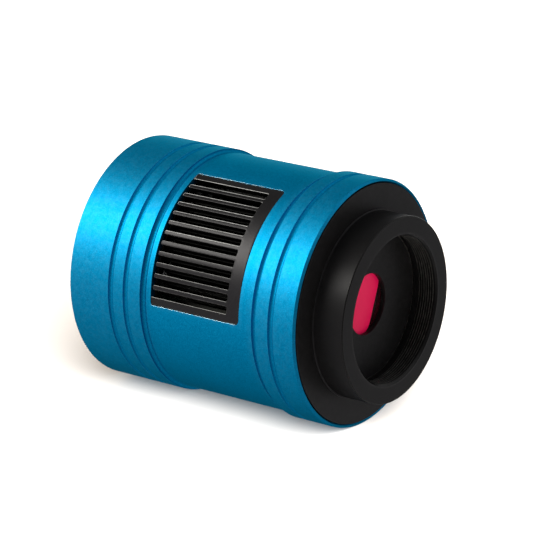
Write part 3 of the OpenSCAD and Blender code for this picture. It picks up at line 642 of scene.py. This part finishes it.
def make_grille(name, turn, node):
    """A curved plate cut straight through by twelve slots. Its bars end short of a sunk rail."""
    b = Build()
    R = MID_R - 0.03
    ct, st = math.cos(turn), math.sin(turn)

    def at(y, z, r):
        x = math.sqrt(max(r * r - y * y, 1e-6))
        return (x * ct - y * st, x * st + y * ct, z)

    def warp(y, z, h):
        return at(y, z, R + h)

    g = 0.12
    y_in = (SLOTS - 1) / 2 * PITCH + SLOT_W / 2
    a, c, z0, z1 = -VENT_Y + g, VENT_Y - g, VENT_Z0 + g, VENT_Z1 - g
    # comb outline, anticlockwise: front edge, right border, then each bar and slot, left border
    out = arc(a + 1.1, z0 + 1.1, 1.1, 180, 270, 5)
    out += [(a + 1.1 + (c - a - 2.2) * k / 46, z0) for k in range(1, 46)]
    out += arc(c - 1.1, z0 + 1.1, 1.1, -90, 0, 5)
    out += [(c, z0 + 1.1 + (z1 - 0.6 - z0 - 1.1) * k / 10) for k in range(1, 10)]
    out += arc(c - 0.6, z1 - 0.6, 0.6, 0, 90, 4)
    tip = 0.42
    for k in reversed(range(SLOTS)):
        m = (k - (SLOTS - 1) / 2) * PITCH
        hi, lo = m + SLOT_W / 2, m - SLOT_W / 2
        end = BAR_END if k < SLOTS - 1 else z1
        if k < SLOTS - 1:  # the corner of the bar above this slot
            out += arc(hi + tip, end - tip, tip, 90, 180, 4)
        else:
            out += arc(hi + 0.2, end - 0.2, 0.2, 90, 180, 3)
        out += [(hi, z) for z in np.linspace(end - tip, SLOT0 + 0.45, 9)[1:-1]]
        out += arc(hi - 0.45, SLOT0 + 0.45, 0.45, 0, -90, 4)
        out += arc(lo + 0.45, SLOT0 + 0.45, 0.45, 270, 180, 4)
        end = BAR_END if k > 0 else z1
        out += [(lo, z) for z in np.linspace(SLOT0 + 0.45, end - tip, 9)[1:-1]]
        if k > 0:
            out += arc(lo - tip, end - tip, tip, 0, 90, 4)
        else:
            out += arc(lo - 0.2, end - 0.2, 0.2, 0, 90, 3)
    out += arc(a + 0.6, z1 - 0.6, 0.6, 90, 180, 4)
    out += [(a, z1 - 0.6 - (z1 - 0.6 - z0 - 1.1) * k / 10) for k in range(1, 10)]
    lv = []
    for k in range(4):
        an = math.pi / 2 * k / 3
        lv.append((offset(out, 0.19 * (1 - math.sin(an))), -0.19 * (1 - math.cos(an)), (0.0, 1.0, 1.0, 0.3)[k]))
    lv.append((out, -2.0, 0.0))
    lv.append((out, R * 0 - 3.15, 0.0))
    ys = [(k - (SLOTS - 2) / 2) * PITCH for k in range(SLOTS - 1)] + [s * (y_in + 0.75) for s in (-1, 1)] + [s * (y_in + 1.35) for s in (-1, 1)]
    extra = [(y, z) for y in ys for z in np.linspace(SLOT0 + 0.4, BAR_END - 0.8, 20)]
    extra += [(y, z) for y in np.linspace(-VENT_Y + 0.9, VENT_Y - 0.9, 44) for z in np.linspace(VENT_Z0 + 0.8, SLOT0 - 0.45, 5)]
    plate(b, [{"levels": lv}], warp, extra, extra)
    # sunk rail that joins the ends of the bars, and the lip behind the shell
    rail = rbox(-VENT_Y - 1.4, VENT_Y + 1.4, BAR_END - 0.25, VENT_Z1 + 3.0, (0.3, 0.3, 0.3, 0.3), n=2, nx=46, ny=3)
    lv2 = [(offset(rail, 0.1), 32.5 - R, 0.0), (rail, 32.4 - R, 0.0), (rail, 30.85 - R, 0.0)]
    b2 = Build()
    ex2 = [(y, z) for y in np.linspace(-VENT_Y - 0.6, VENT_Y + 0.6, 44) for z in (BAR_END + 0.9, BAR_END + 2.2)]

    def warp2(y, z, h):
        r = R + h
        if z > VENT_Z1 - 0.05 or abs(y) > VENT_Y - 0.1:
            r = min(r, IN_R - 0.06)
        return at(y, z, r)

    plate(b2, [{"levels": lv2}], warp2, ex2, ex2)
    n = len(b.v)
    b.v += b2.v
    b.w += b2.w
    b.f += [[i + n for i in f] for f in b2.f]
    b.m += b2.m
    pts = np.array(b.v)
    tang, rad = np.array((-st, ct, 0.0)), np.hypot(pts[:, 0], pts[:, 1])
    for i, f in enumerate(b.f):
        q = pts[f]
        nrm = np.cross(q[1] - q[0], q[2] - q[1])
        nrm /= max(np.linalg.norm(nrm), 1e-12)
        # faces deep in the slots and the sunk rail take the near-black: painted shade
        if rad[f].max() < R - 0.45 or rad[f].min() < R - 1.5:
            b.m[i] = 2
        # the rounded edge on one side of each bar takes the pale grey: a painted highlight
        elif rad[f].min() < R - 0.004 and rad[f].min() > R - 0.25 and nrm @ tang > 0.2 and abs(nrm[2]) < 0.35 \
                and abs(q.mean(0) @ tang) < VENT_Y - 0.8 and SLOT0 < q[:, 2].mean() < z1 - 0.1:
            b.m[i] = 1
    return b.make(name, "camera", [MAT["grille"], MAT["grille_edge"], MAT["grille_deep"]], [node])


make_grille("vent_grille_upper_cut", 0.0, "vent_grille_upper")
make_grille("vent_grille_lower_cut", math.pi, "vent_grille_lower")


# ---------------------------------------------------------------- flange and adapter
def flange():
    b = Build()
    # full edge marks on the bore's edges and the pale lip ring give light lines: partly wear, partly a painted
    # highlight
    prof = [(8.7, 9.25, 0.10, 0.8), (20.95, 8.1, 0.10, 1.0), (21.55, 8.28, 0.12, 1.0), (21.55, 12.6, 0, 0), (24.05, 12.6, 0, 0), (24.05, 9.5, 0.04, 0.3),
            (RIM_R - 0.03, 9.5, 0.10, 0.7), (RIM_R - 0.03, 13.5, 0, 0), (31.9, 13.5, 0, 0), (31.9, 16, 0, 0), (21, 16, 0, 0), (21, 28, 0, 0),
            (16, 28, 0, 0), (16, 16, 0, 0), (12.05, 16, 0, 0), (12.05, 14, 0, 0), (10.6, 14, 0, 0), (10.6, 10.8, 0, 0), (8.7, 10.8, 0.14, 1.0)]
    prof = [(r, z, f, w) for r, z, f, w in prof]
    fp = fillet(prof, 3, closed=True)
    lip = [1 if all(20.8 < r < 21.6 and z < 8.5 for r, z, _ in pq) else 0 for pq in zip(fp, fp[1:] + fp[:1])]
    lathe(b, fp, NSEG, closed=True, mats=lip)
    return b.make("front_flange_turned", "camera", [MAT["black"], MAT["rim_line"]], ["front_flange"])


def adapter():
    b = Build()
    n, p = 240, 0.75
    outer = [(21.6, 6.5, 0, 0), (21.6, 12.5, 0, 0)][::-1]
    # the ring at 26.62 carries a full edge mark for a thin light line: partly wear, partly a painted highlight
    prof = [(26.35, 0.0, 0.32, 0.0), (26.35, 9.22, 0.05, 0.2), (26.62, 9.36, 0.07, 1.0), (26.62, 9.5, 0, 0.5), (24.0, 9.5, 0, 0), (24.0, 12.5, 0, 0), (21.6, 12.5, 0, 0), (21.6, 6.2, 0.05, 0.5), (21.0, 6.05, 0, 0)]
    prof = fillet([(22.5, 0.0, 0, 0)] + prof, 4)[0:]
    # index 3, the pale rim material, marks the step at the thread's inner end: partly wear, partly a painted highlight
    corner = [1 if (p[1] < 0.34 and q[1] < 0.34 and min(p[0], q[0]) > 26.0) else 3 if (p[0] < 21.7 and q[0] < 21.7 and max(p[1], q[1]) < 6.4) else 0 for p, q in zip(prof, prof[1:])]
    loops = lathe(b, prof, n, mats=corner)
    # helical thread, cut as a field of heights over the wall
    rc, rr = 20.6, 20.98
    cut = [(0.0, rc), (0.267, rc), (0.56, rr), (0.707, rr), (1.0, rc)]

    def thread(t):
        for (t0, r0), (t1, r1) in zip(cut, cut[1:]):
            if t <= t1:
                return r0 + (r1 - r0) * (t - t0) / (t1 - t0)
        return rc

    prev = loops[-1]
    rows = 92
    zt = 6.0
    for i in range(rows + 1):
        z = zt * (1 - i / rows)
        lead = max(rc, 21.28 - z * 0.97)
        cur = []
        for j in range(n):
            r = thread((z / p - j / n) % 1.0)
            if z > 5.55:
                r += (rr - r) * min(1.0, (z - 5.55) / 0.3)
            if z < 0.9:
                r = max(r, lead)
            # crests carry a full edge mark, so they come out as pale lines: partly wear, partly a painted highlight
            cur.append(b.pt(r * math.cos(2 * math.pi * j / n), r * math.sin(2 * math.pi * j / n), z, 1.0 if r < rc + 0.05 else 0.0))
        b.band(prev, cur, 3 if z > 5.7 else 1 if z < 0.55 else 2)
        prev = cur
    # rounded mouth, then the flat front face
    for r, z, w in ((21.34, 0.0, 0.8), (22.0, 0.0, 0.0)):
        cur = b.loop(ring_pts(r, z, n), w)
        b.band(prev, cur)
        prev = cur
    b.band(prev, loops[0])
    return b.make("t2_adapter_turned", "camera", [MAT["black"], MAT["edge"], MAT["thread"], MAT["rim_line"]], ["t2_adapter"])


def window():
    """Thick polished disc. Its front is masked black but for a rounded rectangle with the red coating."""
    b = Build()
    red = [(u * 0.977 + v * -0.212, u * 0.212 + v * 0.977) for u, v in rbox(-5.2, 5.7, -9.1, 9.1, (2.9, 4.4, 3.4, 2.9), n=8, nx=6, ny=10)]
    ws = [{"levels": rounded(circle(0, 0, 10.5, 96), -3.2, 0.2)},
          {"levels": [(red, 0.0, 0.0), (offset(red, 0.06), -0.05, 0.0)], "hole": True, "blind": True, "mat": 1}]
    plate(b, ws, lambda u, v, h: (-u, v, 10.8 - h))
    return b.make("protective_window_polished", "camera", [MAT["mask"], MAT["window"]], ["protective_window"], weld=False)


flange()
adapter()
window()


# ---------------------------------------------------------------- rear
Z_COV, Z_OUT = 82.9, 84.9
FAN_Y = 8.0
TIE_R, TIE_A = 28.0, 43.0
TIES = [(TIE_R * math.cos(math.radians(s + q)), TIE_R * math.sin(math.radians(s + q))) for s in (0, 180) for q in (-TIE_A, TIE_A)]
FAN_HOLES = [(i * 14.5, FAN_Y + j * 14.5) for i in (-1, 1) for j in (-1, 1)]
USB, DC, LED = (-9.0, -18.0), (9.0, -18.0), (0.0, -26.6)


def csk_levels(cx, cy, rs, rh, depth):
    return [(circle(cx, cy, rh + 0.22), 0.0, 0.4), (circle(cx, cy, rh + 0.12), -0.03, 1.0), (circle(cx, cy, rh + 0.08), -0.12, 0.4), (circle(cx, cy, rh + 0.08), -0.4, 0.0),
            (circle(cx, cy, rs + 0.08), -0.4 - (rh - rs), 0.0), (circle(cx, cy, rs + 0.08), -depth, 0.0)]


def rear_cover():
    b = Build()
    t = Z_OUT - Z_COV
    rim = circle(0, 0, IN_R - 0.1, 160)
    ws = [{"levels": rounded(rim, -t, 0.3)}]
    for r0 in (5.0, 7.9, 10.8, 13.7):
        r1 = r0 + 1.9
        for s in range(6):
            base = 60 * s
            h0 = math.degrees(math.asin(0.9 / r0))
            h1 = math.degrees(math.asin(0.9 / r1))
            n = max(8, int(r0 * 1.6))
            pts = [(r1 * math.cos(math.radians(base + h1 + (60 - 2 * h1) * k / n)), FAN_Y + r1 * math.sin(math.radians(base + h1 + (60 - 2 * h1) * k / n))) for k in range(n + 1)]
            pts += [(r0 * math.cos(math.radians(base + 60 - h0 - (60 - 2 * h0) * k / n)), FAN_Y + r0 * math.sin(math.radians(base + 60 - h0 - (60 - 2 * h0) * k / n))) for k in range(n + 1)]
            f = fillet([(x, y, 0.45 if k in (0, n, n + 1, 2 * n + 1) else 0, 0) for k, (x, y) in enumerate(pts)], 3, closed=True)
            ws.append({"levels": rounded([(x, y) for x, y, _ in f], -t, 0.16, hole=True, steps=2), "hole": True})
    ws.append({"levels": rounded(rbox(USB[0] - 6.1, USB[0] + 6.1, USB[1] - 5.9, USB[1] + 5.9, (0.5,) * 4, n=5), -t, 0.16, hole=True, steps=2), "hole": True})
    ws.append({"levels": rounded(circle(*DC, 4.5, 64), -t, 0.16, hole=True, steps=2), "hole": True})
    ws.append({"levels": rounded(circle(*LED, 1.6, 40), -t, 0.12, hole=True, steps=2), "hole": True})
    for x, y in TIES:
        ws.append({"levels": csk_levels(x, y, 1.22, 2.3, t), "hole": True})
    for x, y in FAN_HOLES:
        ws.append({"levels": csk_levels(x, y, 1.48, 2.8, t), "hole": True})
    plate(b, ws, lambda x, y, h: (x, y, Z_OUT + h))
    return b.make("rear_cover_milled", "camera", [MAT["cover"]], ["rear_cover"], weld=False)


def screws(name, places, rs, rh, drive, length, node, mat):
    b = Build()
    for x, y in places:
        head = [(circle(x, y, rh - 0.14), 0.0, 0.3), (circle(x, y, rh - 0.04), -0.04, 1.0), (circle(x, y, rh), -0.14, 0.8), (circle(x, y, rh), -0.35, 0.0),
                (circle(x, y, rs), -0.35 - (rh - rs), 0.0)]
        z = -0.35 - (rh - rs)
        k = 0
        while z > -length + 0.5:
            z -= 0.12
            head.append((circle(x, y, rs - (0.13 if k % 2 else 0.0)), z, 0.0))
            k += 1
        head.append((circle(x, y, rs - 0.3), -length, 0.0))
        hx = [(x + drive * math.cos(math.radians(60 * k + 10 * i)), y + drive * math.sin(math.radians(60 * k + 10 * i))) for k in range(6) for i in range(1)]
        fine = []
        for k in range(6):
            (x0, y0), (x1, y1) = hx[k], hx[(k + 1) % 6]
            fine += [(x0 + (x1 - x0) * i / 4, y0 + (y1 - y0) * i / 4) for i in range(4)]
        sock = [(offset(fine, -0.10), 0.0, 0.5), (fine, -0.10, 1.0), (fine, -1.1, 0.0)]
        plate(b, [{"levels": head}, {"levels": sock, "hole": True, "blind": True}], lambda u, v, h: (u, v, Z_OUT + h))
    return b.make(name, "camera", [mat], [node], weld=False)


rear_cover()
screws("rear_cover_screws_hex", TIES, 1.22, 2.3, 0.8, 7.0, "rear_cover_screws", MAT["black_steel"])
screws("fan_screws_hex", FAN_HOLES, 1.48, 2.8, 0.95, 9.0, "fan_screws", MAT["black_steel"])


def rotor():
    """Hub with a dished cap and seven cambered, swept blades."""
    b = Build()
    zf = 72.9
    hub = [(8.4, zf + 2.0, 0, 0), (9.2, zf + 2.0, 0.15, 0.6), (9.2, zf + 8.7, 0.7, 0.6), (3.2, zf + 8.7, 0.15, 0.4), (2.7, zf + 8.35, 0.1, 0), (0, zf + 8.35, 0, 0)]
    cap = [(0, zf + 8.19, 0, 0), (1.0, zf + 8.19, 0, 0), (1.0, zf + 7.6, 0, 0), (8.4, zf + 7.6, 0, 0), (8.4, zf + 2.0, 0, 0)]
    hub[0:1] = []
    lathe(b, fillet(cap[:-1] + [(8.4, zf + 2.0, 0.05, 0.2)] + hub, 4), 96, cy=FAN_Y)
    nb, ns, nc = 7, 9, 12
    for k in range(nb):
        th0 = 2 * math.pi * k / nb
        up, dn = [], []
        for i in range(ns):
            f = i / (ns - 1)
            r = 9.0 + 6.55 * f
            pitch = math.radians(44 - 14 * f)
            chord = 6.4 + 3.6 * f
            sweep = 0.30 * f * f
            lu, ld = [], []
            for j in range(nc + 1):
                c = j / nc - 0.5
                camber = 0.55 * (1 - (2 * c) ** 2)
                thick = 0.12 + 0.30 * math.sqrt(max(0.0, 1 - (2 * c) ** 2))
                for sgn, lst in ((1, lu), (-1, ld)):
                    along, off = c * chord, camber + sgn * thick
                    tang = along * math.cos(pitch) - off * math.sin(pitch)
                    axial = along * math.sin(pitch) + off * math.cos(pitch)
                    axial = max(-2.9, min(3.1, axial))
                    a = th0 + sweep + tang / r
                    lst.append(b.pt(r * math.cos(a), FAN_Y + r * math.sin(a), zf + 5.3 + axial, 0.6 if j in (0, nc) else 0.0))
            up.append(lu)
            dn.append(ld)
        for i in range(ns - 1):
            b.band(up[i], up[i + 1], closed=False, flip=True)
            b.band(dn[i], dn[i + 1], closed=False)
            b.face([up[i][0], up[i + 1][0], dn[i + 1][0], dn[i][0]])
            b.face([up[i][-1], dn[i][-1], dn[i + 1][-1], up[i + 1][-1]])
        for i, fl in ((0, False), (ns - 1, True)):
            for j in range(nc):
                q = [up[i][j], dn[i][j], dn[i][j + 1], up[i][j + 1]]
                b.face(q[::-1] if fl else q)
    return b.make("fan_rotor_moulded", "rotor", [MAT["fan"]], ["fan_rotor"])


rotor()

# ---------------------------------------------------------------- carried-over CAD nodes
USE = {
    "grille_screws": "steel", "window_o_ring": "rubber", "window_retainer": "dark_inside", "sensor_cover_glass": "glass", "sensor_die": "silicon",
    "sensor_package": "ceramic", "sensor_board": "board", "sensor_board_spacers": "white", "insulating_frame": "white", "sensor_board_screws": "steel",
    "sensor_flex": "film", "flex_sockets": "white", "cold_finger": "copper", "cold_side_pad": "pad", "peltier_cold_plate": "ceramic",
    "peltier_elements": "silicon", "peltier_hot_plate": "ceramic", "hot_side_pad": "pad", "peltier_leads": "red_wire", "desiccant_tablets": "white",
    "chamber_o_ring": "rubber", "heat_sink": "fin", "heat_sink_screws": "steel", "main_board": "board", "main_board_chips": "chip",
    "main_board_standoffs": "steel", "main_board_screws": "steel", "link_ribbon": "grey_wire", "tie_rods": "steel", "fan_frame": "fan",
    "fan_stator": "copper", "fan_bearings": "steel", "fan_magnet": "magnet", "fan_shaft": "steel", "shaft_clip": "black_steel", "fan_lead": "black_wire",
    "rear_board": "board", "rear_board_chips": "chip", "rear_board_posts": "steel", "rear_board_screws": "steel", "usb_socket": "steel",
    "usb_tongue": "usb_blue", "dc_jack": "jack", "dc_jack_pin": "steel", "light_pipe": "pipe",
}
for name, o in NODES.items():
    if o.hide_render:
        continue
    o.data.materials.clear()
    o.data.materials.append(MAT[USE[name]])
for name, width in (("usb_socket", 0.12), ("usb_tongue", 0.15), ("dc_jack", 0.15), ("fan_frame", 0.2), ("light_pipe", 0.1), ("dc_jack_pin", 0.12)):
    o = NODES[name]
    wd = o.modifiers.new("weld", "WELD")
    wd.merge_threshold = 2e-6
    bv = o.modifiers.new("bevel", "BEVEL")
    bv.width = width * MM
    bv.segments = 2
    bv.limit_method = "ANGLE"
    bv.angle_limit = math.radians(40)
    bv.harden_normals = False
    wn = o.modifiers.new("normals", "WEIGHTED_NORMAL")
    wn.keep_sharp = True

# ---------------------------------------------------------------- floor, light, camera
def floor():
    me = bpy.data.meshes.new("floor")
    s, z = 6.0, -0.0350
    me.from_pydata([(-s, -s, z), (s, -s, z), (s, s, z), (-s, s, z)], [], [(0, 1, 2, 3)])
    o = bpy.data.objects.new("floor", me)
    bpy.context.scene.collection.objects.link(o)
    m, nt, bs, vec = nodes_of("pale_floor")
    col = mixc(nt, remap(nt, noise(nt, vec, 9, 3), 0.3, 0.7, 0, 1), (0.93, 0.84, 0.705), (0.96, 0.87, 0.735))
    nt.links.new(col, bs.inputs["Base Color"])
    bs.inputs["Roughness"].default_value = 0.9
    bs.inputs["Specular IOR Level"].default_value = 0.0
    bs.inputs["Emission Color"].default_value = (1.0, 0.25, 0.0, 1)
    bs.inputs["Emission Strength"].default_value = 0.03  # warms the shadow a little, as in the photograph
    me.materials.append(m)
    o.visible_glossy = False
    return o


def backdrop():
    """A plain white surround far behind everything, which only the camera sees."""
    b = Build()
    lathe(b, [(2400 * math.sin(math.pi * k / 24), -2400 * math.cos(math.pi * k / 24), 0.0) for k in range(25)], 48)
    me = bpy.data.meshes.new("backdrop")
    me.from_pydata([(x * MM, y * MM, z * MM) for x, y, z in b.v], [], b.f)
    o = bpy.data.objects.new("backdrop", me)
    bpy.context.scene.collection.objects.link(o)
    m, nt, bs, vec = nodes_of("white_backdrop")
    bs.inputs["Base Color"].default_value = (0, 0, 0, 1)
    bs.inputs["Emission Color"].default_value = (1, 1, 1, 1)
    bs.inputs["Emission Strength"].default_value = 1.0
    me.materials.append(m)
    o.visible_diffuse = o.visible_glossy = o.visible_transmission = o.visible_volume_scatter = o.visible_shadow = False


FLOOR = floor()
backdrop()


def area(name, direction, dist, size, size_y, power, target=(0.0, 0.043, 0.0), colour=(1, 1, 1)):
    la = bpy.data.lights.new(name, "AREA")
    la.shape = "RECTANGLE"
    la.size, la.size_y = size, size_y
    la.energy = power
    la.color = colour
    o = bpy.data.objects.new(name, la)
    d = Vector(direction).normalized()
    o.location = Vector(target) + d * dist
    o.rotation_mode = "QUATERNION"
    o.rotation_quaternion = d.to_track_quat("Z", "Y")
    bpy.context.scene.collection.objects.link(o)
    return o


def link_only(light, meshes, state):
    """Light linking: the light falls on those meshes only (INCLUDE) or on everything but them (EXCLUDE)."""
    coll = bpy.data.collections.new("links_" + light.name)
    for mesh in meshes:
        coll.objects.link(mesh)
    for item in coll.collection_objects:
        item.light_linking.link_state = state
    light.light_linking.receiver_collection = coll


key = area("key", (-0.606, 0.549, 0.575), 0.9, 0.80, 0.30, 7.95, colour=(1.0, 1.0, 0.87))
link_only(key, [FLOOR], "EXCLUDE")

fill = bpy.data.lights.new("floor_fill", "SUN")
fill.energy = 10.3
fill.color = (0.81, 0.87, 1.0)
fill.angle = math.radians(50)
fill_o = bpy.data.objects.new("floor_fill", fill)
fill_o.rotation_mode = "QUATERNION"
fill_o.rotation_quaternion = Vector((-0.58, -0.64, 0.52)).to_track_quat("Z", "Y")
bpy.context.scene.collection.objects.link(fill_o)
link_only(fill_o, [FLOOR], "INCLUDE")

# a soft light for the rear face and what stands in it
REAR = ["rear_cover_milled", "rear_cover_screws_hex", "fan_screws_hex", "fan_rotor_moulded", "fan_frame", "fan_stator", "usb_socket", "usb_tongue",
        "dc_jack", "dc_jack_pin", "light_pipe"]
rear_fill = area("rear_fill", (-0.35, 0.80, 0.60), 0.7, 0.55, 0.35, 5.0, target=(0.0, 0.083, 0.0))
link_only(rear_fill, [bpy.data.objects[n] if n in bpy.data.objects else NODES[n] for n in REAR], "INCLUDE")

# soft surround: dim, and brighter towards the side the key stands on
world = bpy.data.worlds.new("studio")
world.use_nodes = True
wt = world.node_tree
wc = wt.nodes.new("ShaderNodeTexCoord")
wx = wt.nodes.new("ShaderNodeSeparateXYZ")
wt.links.new(wc.outputs["Generated"], wx.inputs[0])
side = maths(wt, "MAXIMUM", maths(wt, "MULTIPLY", wx.outputs[0], -0.40), 0.0)
ahead = maths(wt, "MAXIMUM", maths(wt, "MULTIPLY", wx.outputs[1], -1.0), 0.0)
above = maths(wt, "MULTIPLY", ahead, maths(wt, "MAXIMUM", wx.outputs[2], 0.0))
level = maths(wt, "ADD", maths(wt, "ADD", side, maths(wt, "MULTIPLY", ahead, 0.25)), maths(wt, "ADD", maths(wt, "MULTIPLY", above, 0.95), 0.35))
# a dark opening in the surround, ahead of the camera's front and a little to the side
gap = wt.nodes.new("ShaderNodeVectorMath")
gap.operation = "DOT_PRODUCT"
wt.links.new(wc.outputs["Generated"], gap.inputs[0])
gap.inputs[1].default_value = Vector((-0.45, -0.85, 0.20)).normalized()
dim = remap(wt, gap.outputs["Value"], 0.55, 0.90, 1.0, 0.22)


def spot(direction, a, b, lo, hi):
    """A soft patch of the surround, found by its direction."""
    d = wt.nodes.new("ShaderNodeVectorMath")
    d.operation = "DOT_PRODUCT"
    wt.links.new(wc.outputs["Generated"], d.inputs[0])
    d.inputs[1].default_value = Vector(direction).normalized()
    return remap(wt, d.outputs["Value"], a, b, lo, hi)


dim = maths(wt, "MULTIPLY", dim, spot((0.60, 0.549, -0.58), 0.78, 0.96, 1.0, 0.20))
dim = maths(wt, "MULTIPLY", dim, spot((0.42, 0.50, 0.76), 0.70, 0.95, 1.0, 0.55))
level = maths(wt, "ADD", level, spot((0.83, 0.549, 0.08), 0.90, 0.99, 0.0, 0.65))
wt.links.new(maths(wt, "MULTIPLY", level, dim), wt.nodes["Background"].inputs[1])
wt.nodes["Background"].inputs[0].default_value = (1.0, 1.0, 1.0, 1)
bpy.context.scene.world = world
bpy.context.scene.view_settings.view_transform = "Standard"
bpy.context.scene.view_settings.look = "None"

cam_data = bpy.data.cameras.new("camera")
cam = bpy.data.objects.new("camera", cam_data)
bpy.context.scene.collection.objects.link(cam)
cam_data.sensor_width = 36.0
cam_data.lens = 176.2726
cam_data.clip_start, cam_data.clip_end = 0.01, 50.0
right = Vector((0.5792508637, -0.8151493341, 0.0))
up = Vector((0.2594422796, 0.1843615130, 0.9479981731))
back = Vector((-0.7727600795, -0.5491287605, 0.3182757670))
cam.matrix_world = Matrix((
    (right.x, up.x, back.x, -0.5912733),
    (right.y, up.y, back.y, -0.3805625),
    (right.z, up.z, back.z, 0.2452441),
    (0, 0, 0, 1)))
bpy.context.scene.camera = cam
